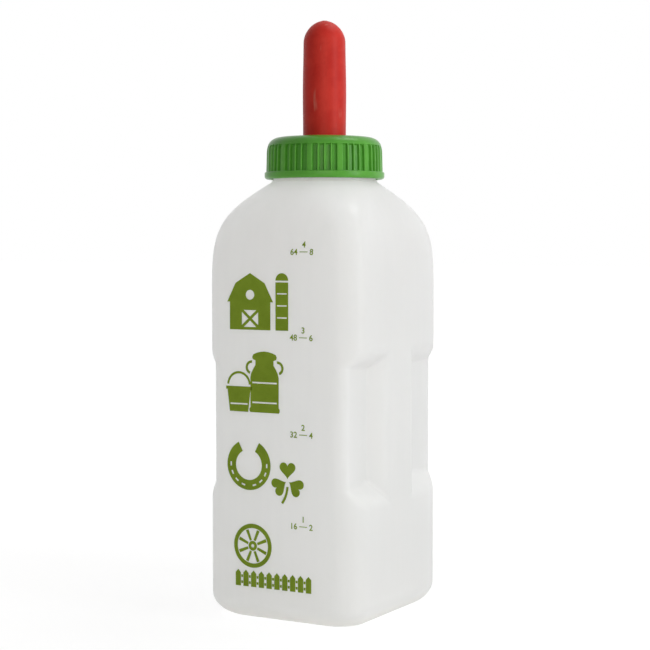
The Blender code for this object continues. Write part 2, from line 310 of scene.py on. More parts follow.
class Surface(Nodes):
    """A material whose Principled shader is fed by nodes made from short calls."""

    def __init__(self, name, **constants):
        self.material = bpy.data.materials.new(name)
        self.material.use_nodes = True
        super().__init__(self.material.node_tree)
        self.shader = self.tree.nodes["Principled BSDF"]
        self.place = self.node("ShaderNodeTexCoord")["Object"]
        self.feed(**constants)

    def feed(self, **sockets):
        """Feed the Principled shader's own sockets."""
        for socket, value in sockets.items():
            self.link(value, self.shader.inputs[socket.replace("_", " ")])

    def stretched(self, scale):
        """Object coordinates with each axis scaled."""
        return self.node("ShaderNodeMapping", None, {"Vector": self.place, "Scale": scale})["Vector"]

    def noise(self, scale, detail=2.0, roughness=0.5, stretch=None):
        """Soft noise of about 0 to 1, with so many waves to the metre."""
        vector = self.stretched(stretch) if stretch else self.place
        inputs = {"Vector": vector, "Scale": scale, "Detail": detail, "Roughness": roughness}
        return self.node("ShaderNodeTexNoise", None, inputs)["Fac"]

    def height(self):
        """The object's own height, in metres."""
        return self.node("ShaderNodeSeparateXYZ", None, {"Vector": self.place})["Z"]

    def reach(self):
        """The distance from the object's own axis, in metres."""
        flat = self.stretched((1.0, 1.0, 0.0))
        return self.node("ShaderNodeVectorMath", {"operation": "LENGTH"}, {0: flat})["Value"]

    def mix(self, mask, first, second):
        """A colour between two colours. A colour's sockets go by number, because names repeat there."""
        return self.node("ShaderNodeMix", {"data_type": "RGBA"}, {0: mask, 6: first, 7: second})["Result"]

    def mottled(self, mask, tones):
        """A colour between the two tones of a finish."""
        return self.mix(mask, colour(tones[0]), colour(tones[1]))

    def bump(self, height, distance):
        """Raise the surface by a height of 0 to 1 times the distance."""
        inputs = {"Height": height, "Distance": distance}
        self.feed(Normal=self.node("ShaderNodeBump", None, inputs)["Normal"])

    def lay_under(self, share, shader):
        """Let another shader take a share of the Principled one's place."""
        own = Value(self, self.shader.outputs["BSDF"])
        self.link(self.mix_shader(share, own, shader), self.tree.nodes["Material Output"].inputs["Surface"])


# Materials


def colour(tone):
    """A colour given as it looks on screen, 0 to 255, as the linear one that the shader wants."""
    shares = [channel / 255 for channel in tone]
    linear = [c / 12.92 if c <= 0.04045 else ((c + 0.055) / 1.055) ** 2.4 for c in shares]
    return (*linear, 1.0)


def grey(level):
    """A linear grey."""
    return (level, level, level, 1.0)


def milky_plastic():
    """Blow-moulded polyethylene: milky, satin, faintly streaked along the height, uneven in thickness.
    More light comes through the wall than goes back from it, so the far side lights the near one."""
    skin = Surface("milky_plastic", IOR=1.50, Specular_IOR_Level=0.4)
    cloud = skin.noise(22.0, detail=3.0)
    streak = skin.noise(260.0, stretch=(1.0, 1.0, 0.05))
    grain = skin.noise(900.0)
    clear = skin.mottled((cloud * 0.5 + streak * 0.5).step(0.30, 0.70), MILKY)
    above_foot = skin.height().step(0.0, FOOT_TINT_HEIGHT)
    skin.feed(Base_Color=skin.mix(above_foot, colour(MILKY_FOOT), clear))
    skin.feed(Roughness=cloud * 0.08 + streak * 0.05 + 0.15)
    skin.bump(streak * 0.25 + grain * 0.15 + cloud * 0.6, MILKY_RELIEF)
    through = skin.node("ShaderNodeBsdfTranslucent", None, {"Color": colour(MILKY_THROUGH)})["BSDF"]
    skin.lay_under(SHARE_THROUGH, through)
    return skin.material


def green_plastic():
    """Injection-moulded polypropylene: satin green with a fine eggshell grain. Its ribs and top edge are
    painted paler and its grooves darker: painted light and shade.
    """
    skin = Surface("green_plastic", IOR=1.49, Specular_IOR_Level=0.24)
    cloud = skin.noise(60.0, detail=3.0)
    grain = skin.noise(1600.0, detail=3.0)
    speck = skin.noise(420.0, detail=4.0, roughness=0.7)
    tone = (cloud * 0.7 + speck * 0.3).step(0.35, 0.65)
    height = skin.height()
    wall = skin.reach() + (height - CAP_BOTTOM) * CAP_DRAFT
    # Paler on the ribs and the edge above them, darker in the grooves: painted light and shade, not wear
    on_ribs = wall.step(GROOVE_RADIUS + GROOVE_SHADE_END, CREST_RADIUS)
    above_ribs = height.step(RIB_TOP + PAINTED_LIT_TOP_BLEND[0], RIB_TOP + PAINTED_LIT_TOP_BLEND[1])
    painted_lit_mask = (on_ribs + above_ribs * PAINTED_LIT_TOP_SHARE).clamp()
    groove_shade_tone, painted_lit_tone = skin.mottled(tone, GREEN_BODY_AND_GROOVE_SHADE), skin.mottled(tone, GREEN_PAINTED_LIT_RIBS)
    skin.feed(Base_Color=skin.mix(painted_lit_mask, groove_shade_tone, painted_lit_tone))
    skin.feed(Roughness=cloud * 0.10 + grain * 0.06 + 0.22)
    skin.bump(grain * 0.6 + speck * 0.4, GREEN_RELIEF)
    return skin.material


def red_rubber():
    """Soft moulded rubber: matt, slightly mottled, with a few pale scuffs."""
    skin = Surface("red_rubber", IOR=1.45, Specular_IOR_Level=0.18)
    cloud = skin.noise(85.0, detail=4.0, roughness=0.6)
    fine = skin.noise(1500.0, detail=3.0, roughness=0.6)
    scratch = skin.noise(300.0, detail=1.0, roughness=0.4, stretch=(1.0, 1.0, 0.16)).step(0.62, 0.72)
    patch = skin.noise(70.0).step(0.48, 0.62)
    scuffed = (scratch * patch).clamp()
    red = skin.mottled(cloud.step(0.3, 0.7), RUBBER_RED)
    skin.feed(Base_Color=skin.mix(scuffed * 0.55, red, colour(RUBBER_SCUFFED)))
    skin.feed(Roughness=cloud * 0.12 + scuffed * 0.12 + 0.38)
    skin.bump(fine * 0.7 + cloud * 0.3, RUBBER_RELIEF)
    return skin.material


def olive_ink():
    """Screen-printed ink: flat olive green, a little mottled, with a fine grain."""
    skin = Surface("olive_ink", IOR=1.48, Specular_IOR_Level=0.15)
    cloud = skin.noise(75.0, detail=4.0, roughness=0.6)
    fine = skin.noise(2200.0)
    skin.feed(Base_Color=skin.mottled((cloud * 0.7 + fine * 0.3).step(0.35, 0.65), OLIVE))
    skin.feed(Roughness=cloud * 0.1 + 0.36)
    skin.bump(fine, INK_RELIEF)
    return skin.material


# Mesh helpers


def smooth_min(a, b, blend):
    """The lesser of two arrays, rounded where they are closer than the blend."""
    overlap = numpy.maximum(blend - numpy.abs(a - b), 0.0) / blend
    return numpy.minimum(a, b) - overlap * overlap * blend / 4


def spread(start, end, steps):
    """Evenly spaced values from start up to, but not including, the end."""
    return [start + (end - start) * step / steps for step in range(steps)]


def arc(centre, radius, start, end, steps):
    """Points of a round arc, angles in degrees."""
    turns = [math.radians(turn) for turn in spread(start, end, steps) + [end]]
    return [(centre[0] + radius * math.cos(t), centre[1] + radius * math.sin(t)) for t in turns]


def super_arc(centre, run, rise, power, start, steps):
    """Points of a superellipse in the (radius, height) plane, from an angle up to the top."""
    points = []
    for turn in spread(start, math.pi / 2, steps) + [math.pi / 2]:
        across, up = max(math.cos(turn), 0.0), math.sin(turn)
        points.append((centre[0] + run * across ** (2 / power), centre[1] + rise * up ** (2 / power)))
    return points


def placed(bm, name):
    """A bmesh as an object at the origin of the scene."""
    mesh = bpy.data.meshes.new(name)
    bm.to_mesh(mesh)
    bm.free()
    made = bpy.data.objects.new(name, mesh)
    bpy.context.scene.collection.objects.link(made)
    return made


def add_piece(bm, name, surface, body, sharp=40):
    """A bmesh as a piece that rides on a body and takes a material slot. Edges sharper than so many
    degrees stay sharp."""
    made = placed(bm, name)
    made.data.materials.append(surface)
    made.data.shade_smooth()
    made.data.set_sharp_from_angle(angle=math.radians(sharp))
    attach(made, body)
    return made


def evaluated_mesh(carrier):
    """The mesh that a passing object evaluates to. The object is removed."""
    bpy.context.scene.collection.objects.link(carrier)
    bpy.context.view_layer.update()
    mesh = bpy.data.meshes.new_from_object(carrier.evaluated_get(bpy.context.evaluated_depsgraph_get()))
    bpy.data.objects.remove(carrier)
    return mesh


def skin_rings(rings, ends):
    """A skin over rings of equally many points. Its ends are joined to each other, or closed by poles or
    by flat faces."""
    bm = bmesh.new()
    rows = [[bm.verts.new(point) for point in ring] for ring in rings]
    pairs = list(zip(rows, rows[1:]))
    if ends == "joined":
        pairs.append((rows[-1], rows[0]))
    count = len(rows[0])
    for lower, upper in pairs:
        for index in range(count):
            after = (index + 1) % count
            bm.faces.new((lower[index], lower[after], upper[after], upper[index]))
    if ends == "flat":
        bm.faces.new(list(reversed(rows[0])))
        bm.faces.new(rows[-1])
    if ends == "poles":
        for row in (rows[0], rows[-1]):
            middle = sum((vert.co for vert in row), Vector()) / count
            pole = bm.verts.new(middle)
            for index in range(count):
                bm.faces.new((row[index], row[(index + 1) % count], pole))
    bmesh.ops.recalc_face_normals(bm, faces=bm.faces)
    return bm


def revolve(outline, segments):
    """A closed outline of (radius, height) points turned round the axis."""
    turns = numpy.arange(segments) * 2 * math.pi / segments
    rings = []
    for radius, height in outline:
        heights = numpy.full(segments, height)
        rings.append(numpy.stack((radius * numpy.cos(turns), radius * numpy.sin(turns), heights), 1))
    return skin_rings(rings, "joined")


# Bottle


def outline_angles(half_x, half_y, corner):
    """Directions of an outline's points: close together where the grips bend and round the corners."""
    panel = GRIP_PANEL_WIDTH / 2
    foot = panel + GRIP_DEPTH / GRIP_WALL_SLOPE
    flat = HALF_DEPTH - CORNER_RADIUS
    side = spread(0.0, panel - GRIP_EDGE_BLEND, 4)
    side += spread(panel - GRIP_EDGE_BLEND, panel + GRIP_EDGE_BLEND, 12)
    side += spread(panel + GRIP_EDGE_BLEND, foot - GRIP_VALLEY_BLEND, 4)
    side += spread(foot - GRIP_VALLEY_BLEND, foot + GRIP_VALLEY_BLEND, 8)
    side += spread(foot + GRIP_VALLEY_BLEND, flat, 7)
    squeeze = (half_y - corner) / flat
    quarter = [math.atan2(y * squeeze, half_x) for y in side]
    for turn in spread(0.0, math.pi / 2, 22) + [math.pi / 2]:
        x = half_x - corner + corner * math.cos(turn)
        y = half_y - corner + corner * math.sin(turn)
        quarter.append(math.atan2(y, x))
    front = spread(half_x - corner, 0.0, 6)[1:]
    quarter += [math.atan2(half_y, x) for x in front]
    half = quarter + [math.pi / 2] + [math.pi - angle for angle in reversed(quarter[1:])]
    return numpy.array(half + [math.pi + angle for angle in half])


def box_reach(angles, half_x, half_y, corner):
    """How far a rounded rectangle reaches from its middle in each direction."""
    across, along = numpy.abs(numpy.cos(angles)), numpy.abs(numpy.sin(angles))
    flat_x, flat_y = half_x - corner, half_y - corner
    towards = flat_x * across + flat_y * along
    beyond = towards ** 2 - flat_x ** 2 - flat_y ** 2 + corner ** 2
    reach = towards + numpy.sqrt(numpy.maximum(beyond, 0.0))
    tiny = 1e-9
    reach = numpy.where(across * flat_y >= along * half_x, half_x / numpy.maximum(across, tiny), reach)
    return numpy.where(along * flat_x >= across * half_y, half_y / numpy.maximum(along, tiny), reach)


def grip_depth(y, z):
    """Depth of the hand grip below the side: planes for its wall, floor and two ends."""
    from_panel = numpy.abs(y) - GRIP_PANEL_WIDTH / 2
    foot = GRIP_DEPTH / GRIP_WALL_SLOPE
    floor_run = HALF_DEPTH - CORNER_RADIUS / 2 - GRIP_PANEL_WIDTH / 2 - foot
    wall = from_panel * GRIP_WALL_SLOPE
    floor = GRIP_DEPTH - (GRIP_DEPTH - GRIP_CORNER_DEPTH) * (from_panel - foot) / floor_run
    ends = min((z - GRIP_BOTTOM) * GRIP_BOTTOM_SLOPE, (GRIP_TOP - z) * GRIP_TOP_SLOPE)
    return smooth_min(smooth_min(wall, floor, GRIP_VALLEY_BLEND), ends, GRIP_VALLEY_BLEND)


def body_ring(height, inset, share):
    """One outline of the body, from rounded square at the walls to round at the neck."""
    taper = (HALF_DEPTH - NECK_RADIUS) / (HALF_WIDTH - NECK_RADIUS) if share else 1.0
    half_x = HALF_WIDTH - inset
    half_y = HALF_DEPTH - inset * taper
    corner = CORNER_RADIUS - inset * BASE_CORNER_TUCK
    angles = outline_angles(half_x, half_y, corner)
    if share:
        corner = CORNER_RADIUS + (NECK_RADIUS - CORNER_RADIUS) * share ** SHOULDER_ROUNDING
        angles = outline_angles(HALF_WIDTH, HALF_DEPTH, CORNER_RADIUS)
    reach = box_reach(angles, half_x, half_y, corner)
    x, y = reach * numpy.cos(angles), reach * numpy.sin(angles)
    if GRIP_BOTTOM - GRIP_EDGE_BLEND < height < GRIP_TOP + GRIP_EDGE_BLEND:
        x = numpy.copysign(smooth_min(numpy.abs(x), half_x - grip_depth(y, height), GRIP_EDGE_BLEND), x)
    return numpy.stack((x, y, numpy.full(len(x), height)), 1)


def base_rings():
    """The underside from its middle out to the foot ring: a pushed-up panel with a soft step."""
    inner = BASE_EDGE_RADIUS + FOOT_WIDTH
    panel = body_ring(PUSH_UP, inner + PUSH_UP_RUN, 0.0)
    rings = [panel * (share, share, 1.0) for share in (0.15, 0.4, 0.65, 0.85)]
    for share in spread(0.0, 1.0, 8):
        height = PUSH_UP * (1 + math.cos(math.pi * share)) / 2
        rings.append(body_ring(height, inner + PUSH_UP_RUN * (1 - share), 0.0))
    rings += [body_ring(0.0, inner, 0.0), body_ring(0.0, BASE_EDGE_RADIUS + FOOT_WIDTH / 2, 0.0)]
    return rings


def wall_rings():
    """The outside from the foot ring up to the neck."""
    rings = []
    for turn in spread(0.0, math.pi / 2, 14):
        height = BASE_EDGE_RADIUS * (1 - math.cos(turn))
        rings.append(body_ring(height, BASE_EDGE_RADIUS * (1 - math.sin(turn)), 0.0))
    shallow, deep = GRIP_CORNER_DEPTH, GRIP_DEPTH + GRIP_VALLEY_BLEND
    foot_low = GRIP_BOTTOM + (shallow - GRIP_VALLEY_BLEND) / GRIP_BOTTOM_SLOPE
    foot_high = GRIP_BOTTOM + deep / GRIP_BOTTOM_SLOPE
    roof_low = GRIP_TOP - deep / GRIP_TOP_SLOPE
    roof_high = GRIP_TOP - (shallow - GRIP_VALLEY_BLEND) / GRIP_TOP_SLOPE
    heights = spread(BASE_EDGE_RADIUS, GRIP_BOTTOM - GRIP_EDGE_BLEND, 4)
    heights += spread(GRIP_BOTTOM - GRIP_EDGE_BLEND, foot_low, 14)
    heights += spread(foot_low, foot_high, 12)
    heights += spread(foot_high, roof_low, 8)
    heights += spread(roof_low, roof_high, 12)
    heights += spread(roof_high, GRIP_TOP + GRIP_EDGE_BLEND, 14)
    heights += spread(GRIP_TOP + GRIP_EDGE_BLEND, SHOULDER_START, 4)
    rings += [body_ring(height, 0.0, 0.0) for height in heights]
    height = BODY_HEIGHT - SHOULDER_START
    inset = HALF_WIDTH - NECK_RADIUS
    end = Vector((inset, height))
    rise = Vector((0.0, SHOULDER_START_PULL * height))
    approach = end - SHOULDER_END_PULL * inset * Vector((1.0, math.tan(SHOULDER_END_SLOPE)))
    for t in spread(0.0, 1.0, 40) + [1.0]:
        point = 3 * (1 - t) ** 2 * t * rise + 3 * (1 - t) * t * t * approach + t ** 3 * end
        rings.append(body_ring(SHOULDER_START + point.y, point.x, point.x / inset))
    return rings


def inward(rings, distance):
    """The same rings moved in by the wall, square to the skin."""
    grid = numpy.array(rings)
    along = numpy.roll(grid, -1, axis=1) - numpy.roll(grid, 1, axis=1)
    up = numpy.gradient(grid, axis=0)
    normal = numpy.cross(along, up)
    normal /= numpy.maximum(numpy.linalg.norm(normal, axis=2, keepdims=True), 1e-12)
    return list(grid - normal * distance)


def neck_ring(radius, height):
    """One round outline of the neck, in the directions that the body's outlines have."""
    angles = outline_angles(HALF_WIDTH, HALF_DEPTH, CORNER_RADIUS)
    heights = numpy.full(len(angles), height)
    return numpy.stack((radius * numpy.cos(angles), radius * numpy.sin(angles), heights), 1)


def make_bottle(surface):
    """The bottle: outside, rounded rim and inside as one closed skin."""
    body = base_rings() + wall_rings()
    inner_radius = FINISH_RADIUS - WALL
    bead = arc((NECK_RADIUS - NECK_ROUND, BEAD_TOP - NECK_ROUND), NECK_ROUND, 0, 90, 4)
    step = arc((FINISH_RADIUS + NECK_ROUND, BEAD_TOP + NECK_ROUND), NECK_ROUND, -90, -180, 4)
    rim = arc((FINISH_RADIUS - NECK_ROUND, RIM - NECK_ROUND), NECK_ROUND, 0, 90, 5)
    rim += arc((inner_radius + NECK_ROUND, RIM - NECK_ROUND), NECK_ROUND, 90, 180, 5)
    bore = [(inner_radius, RIM - FINISH_HEIGHT / 2), (inner_radius, BEAD_TOP + WALL)]
    neck = [neck_ring(*point) for point in bead + step + rim + bore]
    inside = inward(body, WALL)
    inside = inside[:-1:2] + [inside[-1]]
    bm = skin_rings(body + neck + list(reversed(inside)), "poles")
    bottle = add_piece(bm, "bottle_shell", surface, "bottle")
    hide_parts("bottle")
    return bottle


# What repeats: ribs and threads, made by Geometry Nodes


class Tree(Nodes):
    """A Geometry Nodes tree with named inputs."""

    def __init__(self, name):
        super().__init__(bpy.data.node_groups.new(name, "GeometryNodeTree"))
        self.tree.interface.new_socket("Geometry", in_out="OUTPUT", socket_type="NodeSocketGeometry")
        self.start = self.tree.nodes.new("NodeGroupInput")
        self.end = self.tree.nodes.new("NodeGroupOutput")
        self.values = {}

    def input(self, name, kind, value):
        """A named input of the tree, with the value that the piece has."""
        socket = self.tree.interface.new_socket(name, in_out="INPUT", socket_type="NodeSocket" + kind)
        self.values[socket.identifier] = value
        return Value(self, self.start.outputs[name])

    def run(self, geometry, surface):
        """Run the tree and give its result as a bmesh."""
        real = self.node("GeometryNodeRealizeInstances", None, {"Geometry": geometry})["Geometry"]
        dressed = self.node("GeometryNodeSetMaterial", None, {"Geometry": real, "Material": surface})
        self.link(dressed["Geometry"], self.end.inputs["Geometry"])
        carrier = bpy.data.objects.new("carrier", bpy.data.meshes.new("carrier"))
        modifier = carrier.modifiers.new("tree", "NODES")
        modifier.node_group = self.tree
        for identifier, value in self.values.items():
            modifier[identifier] = value
        bm = bmesh.new()
        bm.from_mesh(evaluated_mesh(carrier))
        bmesh.ops.remove_doubles(bm, verts=bm.verts, dist=WELD)
        bmesh.ops.recalc_face_normals(bm, faces=bm.faces)
        return bm


def cap_outside(height):
    """Radius of the cap over its ribs: a drafted wall, then the top edge's superellipse."""
    wall = CREST_RADIUS - CAP_DRAFT * (height - CAP_BOTTOM)
    up = max(height - EDGE_START, 0.0) / CAP_EDGE_DROP
    return wall - CAP_EDGE_RUN * (1 - (1 - up ** CAP_EDGE_POWER) ** (1 / CAP_EDGE_POWER))


def rib_bar(name, width):
    """One rib as a bar that starts in the flange, follows the wall and sinks into the top edge."""
    root = CAP_BORE_RADIUS + CAP_WALL / 2
    half = width / 2
    low = CAP_BOTTOM + CAP_FLANGE_HEIGHT - CAP_FLANGE_TOP_ROUND
    high = RIB_TOP + 2 * RIB_FLANK
    rings = []
    for height in spread(low, EDGE_START, 3) + spread(EDGE_START, high, 9) + [high]:
        sunk = CAP_SMALL_ROUND / 4 * max(height - RIB_TOP, 0.0) / (high - RIB_TOP)
        crest = cap_outside(height) - sunk
        side = [(root, half + RIB_FLANK), (crest - RIB_DEPTH, half + RIB_FLANK)]
        side += arc((crest - RIB_ROUND, half - RIB_ROUND), RIB_ROUND, 90, 0, 3)
        plan = side + [(radius, -across) for radius, across in reversed(side)]
        rings.append([(radius, across, height) for radius, across in plan])
    return placed(skin_rings(rings, "flat"), name)


def make_ribs(surface):
    """All the ribs: each group is one wide rib and three narrow ones halfway to the next wide one."""
    tree = Tree("cap_ribs")
    wide = tree.input("Wide rib", "Object", rib_bar("wide_rib", WIDE_RIB_WIDTH))
    narrow = tree.input("Narrow rib", "Object", rib_bar("narrow_rib", NARROW_RIB_WIDTH))
    groups = tree.input("Groups", "Int", RIB_GROUPS)
    pitch = tree.input("Narrow rib pitch", "Float", RIB_PITCH)
    inputs = {"Count": groups * RIBS_IN_GROUP, "Offset": (0.0, 0.0, 0.0)}
    line = tree.node("GeometryNodeMeshLine", None, inputs)["Mesh"]
    index = tree.node("GeometryNodeInputIndex")["Index"]
    group = tree.math("FLOOR", index / RIBS_IN_GROUP)
    place = tree.math("MODULO", index, RIBS_IN_GROUP)
    is_wide = tree.math("LESS_THAN", place, 0.5)
    is_narrow = 1.0 - is_wide
    group_angle = 2 * math.pi / groups
    from_wide = (place - RIBS_IN_GROUP / 2) * pitch + group_angle * 0.5
    angle = (group + 0.5) * group_angle + is_narrow * from_wide
    rotation = tree.node("ShaderNodeCombineXYZ", None, {"Z": angle})["Vector"]
    bars = []
    for bar, chosen in ((wide, is_wide), (narrow, is_narrow)):
        shape = tree.node("GeometryNodeObjectInfo", None, {"Object": bar})["Geometry"]
        inputs = {"Points": line, "Selection": chosen, "Instance": shape, "Rotation": rotation}
        bars.append(tree.node("GeometryNodeInstanceOnPoints", None, inputs)["Instances"])
    joined = tree.node("GeometryNodeJoinGeometry", None, {"Geometry": bars})["Geometry"]
    bm = tree.run(joined, surface)
    for name in ("wide_rib", "narrow_rib"):
        bpy.data.objects.remove(bpy.data.objects[name])
    add_piece(bm, "cap_ribs", surface, "cap", 50)


def make_thread(name, surface, body, radius, depth, start):
    """A right-handed thread: a ridge that runs round a wall and fades out at both ends. A negative depth
    makes an inside thread."""
    tree = Tree(name)
    reach = tree.input("Radius", "Float", radius)
    pitch = tree.input("Pitch", "Float", THREAD_PITCH)
    turns = tree.input("Turns", "Float", THREAD_TURNS)
    base = tree.input("Start height", "Float", start)
    inputs = {"Resolution": THREAD_STEPS, "Rotations": turns, "Start Radius": reach, "End Radius": reach,
              "Height": pitch * turns, "Reverse": True}
    spiral = tree.node("GeometryNodeCurveSpiral", None, inputs)["Curve"]
    upright = tree.node("GeometryNodeSetCurveNormal", {"mode": "Z_UP"}, {"Curve": spiral})["Curve"]
    along = tree.node("GeometryNodeSplineParameter")["Factor"]
    ends = tree.math("MINIMUM", along * THREAD_FADE, (1.0 - along) * THREAD_FADE)
    fade = tree.math("MAXIMUM", tree.math("MINIMUM", ends, 1.0), THREAD_END)
    faded = tree.node("GeometryNodeSetCurveRadius", None, {"Curve": upright, "Radius": fade})["Curve"]
    half, crest, root = THREAD_WIDTH / 2, THREAD_CREST / 2, -THREAD_ROOT * depth
    plan = [(root, -half), (root, half), (depth, crest), (depth, -crest)]
    inputs = {f"Point {number}": (x, y, 0.0) for number, (x, y) in enumerate(plan, 1)}
    shape = tree.node("GeometryNodeCurvePrimitiveQuadrilateral", {"mode": "POINTS"}, inputs)["Curve"]
    inputs = {"Curve": faded, "Profile Curve": shape, "Fill Caps": True}
    ridge = tree.node("GeometryNodeCurveToMesh", None, inputs)["Mesh"]
    lift = tree.node("ShaderNodeCombineXYZ", None, {"Z": base})["Vector"]
    moved = tree.node("GeometryNodeTransform", None, {"Geometry": ridge, "Translation": lift})["Geometry"]
    add_piece(tree.run(moved, surface), name, surface, body, 30)


# Cap and nipple


def make_cap(surface):
    """The cap's body: flange, grooved wall, rounded top edge, deck, hole for the nipple and bore."""
    flange_radius = GROOVE_RADIUS + CAP_FLANGE_REACH
    flange_top = CAP_BOTTOM + CAP_FLANGE_HEIGHT
    foot, lip, small = CAP_FLANGE_FOOT_ROUND, CAP_FLANGE_TOP_ROUND, CAP_SMALL_ROUND
    edge_radius = CREST_RADIUS - CAP_DRAFT * (EDGE_START - CAP_BOTTOM) - CAP_EDGE_RUN
    groove_end = RIB_TOP + RIB_FLANK
    edge_angle = math.asin(((groove_end - EDGE_START) / CAP_EDGE_DROP) ** (CAP_EDGE_POWER / 2))
    outline = arc((CAP_BORE_RADIUS + small, CAP_BOTTOM + small), small, 180, 270, 4)
    outline += arc((flange_radius - foot, CAP_BOTTOM + foot), foot, -90, 0, 10)
    outline += arc((flange_radius - lip, flange_top - lip), lip, 0, 90, 6)
    groove_foot = cap_outside(flange_top) - RIB_DEPTH
    outline += arc((groove_foot + small, flange_top + small), small, -90, -180, 4)
    for height in spread(flange_top + 2 * small, RIB_TOP - 2 * RIB_FLANK, 10):
        outline.append((cap_outside(height) - RIB_DEPTH, height))
    for share in spread(0.0, 1.0, 8):
        height = RIB_TOP - 2 * RIB_FLANK + 3 * RIB_FLANK * share
        depth = RIB_DEPTH * math.cos(math.pi / 2 * share) ** GROOVE_RUNOUT_POWER
        outline.append((cap_outside(height) - depth, height))
    edge = (edge_radius, EDGE_START)
    outline += super_arc(edge, CAP_EDGE_RUN, CAP_EDGE_DROP, CAP_EDGE_POWER, edge_angle, 22)
    outline += arc((NIPPLE_HOLE_RADIUS + small, CAP_TOP - small), small, 90, 180, 5)
    outline += arc((NIPPLE_HOLE_RADIUS + small, DECK_BOTTOM + small), small, 180, 270, 5)
    outline += arc((CAP_BORE_RADIUS - small, DECK_BOTTOM - small), small, 90, 0, 4)
    cap = add_piece(revolve(outline, CAP_SEGMENTS), "cap_shell", surface, "cap")
    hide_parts("screw_cap")


def teat_profile(share):
    """Outer radius of the teat from the deck (0) to the start of its dome (1)."""
    swell = TEAT_SWELL * math.sin(math.pi * share) ** 2
    return TEAT_RADIUS + (TEAT_TIP_RADIUS - TEAT_RADIUS) * share + swell


def make_nipple(surface):
    """The nipple: a flange clamped on the rim, a hollow teat through the cap and a small tip hole."""
    tip = CAP_TOP + TEAT_REACH
    dome_start = tip - TEAT_DOME
    flange_radius = CAP_BORE_RADIUS - FLANGE_GAP
    small, hole = FLANGE_ROUND, TIP_HOLE_ROUND
    outline = arc((flange_radius - small, FLANGE_BOTTOM + small), small, -90, 0, 5)
    outline += arc((flange_radius - small, FLANGE_TOP - small), small, 0, 90, 5)
    fillet = HOLE_CLEARANCE
    outline += arc((TEAT_RADIUS + fillet, FLANGE_TOP + fillet), fillet, -90, -180, 5)
    for share in spread(0.0, 1.0, 28):
        outline.append((teat_profile(share), CAP_TOP + (dome_start - CAP_TOP) * share))
    hole_edge = TIP_HOLE_RADIUS + hole
    dome = super_arc((0.0, dome_start), TEAT_TIP_RADIUS, TEAT_DOME, TEAT_DOME_POWER, 0.0, 40)
    outline += [point for point in dome if point[0] > hole_edge + hole]
    outline += arc((hole_edge, tip - hole), hole, 90, 180, 5)
    outline.append((TIP_HOLE_RADIUS, tip - TEAT_TIP_WALL))
    bore = TEAT_TIP_RADIUS - TEAT_WALL
    outline += arc((0.0, tip - TEAT_TIP_WALL - bore), bore, 75, 0, 10)
    outline.append((bore, FLANGE_TOP))
    outline.append((bore + TEAT_ROOT_FILLET, FLANGE_BOTTOM))
    nipple = add_piece(revolve(outline, NIPPLE_SEGMENTS), "nipple_teat", surface, "nipple")
    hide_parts("nipple")


# Print on the front


def flat_mesh(loops):
    """Loops of (x, z) points in millimetres as a filled flat mesh; a loop inside another is a hole."""
    curve = bpy.data.curves.new("print_outline", "CURVE")
    curve.dimensions = "2D"
    curve.fill_mode = "BOTH"
    for loop in loops:
        spline = curve.splines.new("POLY")
        spline.points.add(len(loop) - 1)
        spline.use_cyclic_u = True
        for point, (x, z) in zip(spline.points, loop):
            point.co = (x, z, 0.0, 1.0)
    return evaluated_mesh(bpy.data.objects.new("print_outline", curve))


def text_mesh(words, align):
    """Numbers as a filled flat mesh, in units of the letter size."""
    letters = bpy.data.curves.new("print_numbers", "FONT")
    letters.body = words
    letters.align_x = align
    letters.resolution_u = 6
    letters.offset = MARK_BOLD
    return evaluated_mesh(bpy.data.objects.new("print_numbers", letters))


def lay(bm, mesh, scale, x, z):
    """Add a flat mesh to the print, scaled and moved on the front face."""
    place = Matrix.Translation((x, 0.0, z)) @ Matrix.Rotation(math.pi / 2, 4, "X") @ Matrix.Scale(scale, 4)
    mesh.transform(place)
    bm.from_mesh(mesh)


def outside_of(piece):
    """The skin of a piece, to lay print on."""
    corners = [vert.co for vert in piece.data.vertices]
    return BVHTree.FromPolygons(corners, [face.vertices for face in piece.data.polygons])


def print_on(bm, name, surface, target):
    """Wrap a flat print on the bottle's front and give it the thickness of ink."""
    bmesh.ops.remove_doubles(bm, verts=bm.verts, dist=PRINT_WELD)
    low = min(vert.co.z for vert in bm.verts)
    high = max(vert.co.z for vert in bm.verts)
    height = max(low, SHOULDER_START)
    while height < high:
        parts = bm.verts[:] + bm.edges[:] + bm.faces[:]
        bmesh.ops.bisect_plane(bm, geom=parts, plane_co=(0, 0, height), plane_no=(0, 0, 1))
        height += INK_SLICE
    bmesh.ops.triangulate(bm, faces=bm.faces)
    for vert in bm.verts:
        start = Vector((vert.co.x, -BODY_DEPTH, vert.co.z))
        hit, normal, _, _ = target.ray_cast(start, Vector((0.0, 1.0, 0.0)))
        vert.co = hit + normal * INK_LIFT
    bmesh.ops.recalc_face_normals(bm, faces=bm.faces)
    if sum(face.normal.y * face.calc_area() for face in bm.faces) > 0:
        bmesh.ops.reverse_faces(bm, faces=bm.faces)
    top = bm.faces[:]
    backs = {vert: bm.verts.new(vert.co + Vector((0.0, INK_THICKNESS, 0.0))) for vert in bm.verts[:]}
    rims = [edge for edge in bm.edges if len(edge.link_faces) == 1]
    walls = [(edge.link_loops[0].vert, edge.link_loops[0].link_loop_next.vert) for edge in rims]
    for face in top:
        bm.faces.new([backs[vert] for vert in reversed(face.verts)])
    for first, second in walls:
        bm.faces.new((second, first, backs[first], backs[second]))
    add_piece(bm, name, surface, "bottle", 30)


def mirrored(profile):
    """A loop from the right half of a shape, given from its bottom middle to its top middle."""
    return profile + [(-x, z) for x, z in reversed(profile)]


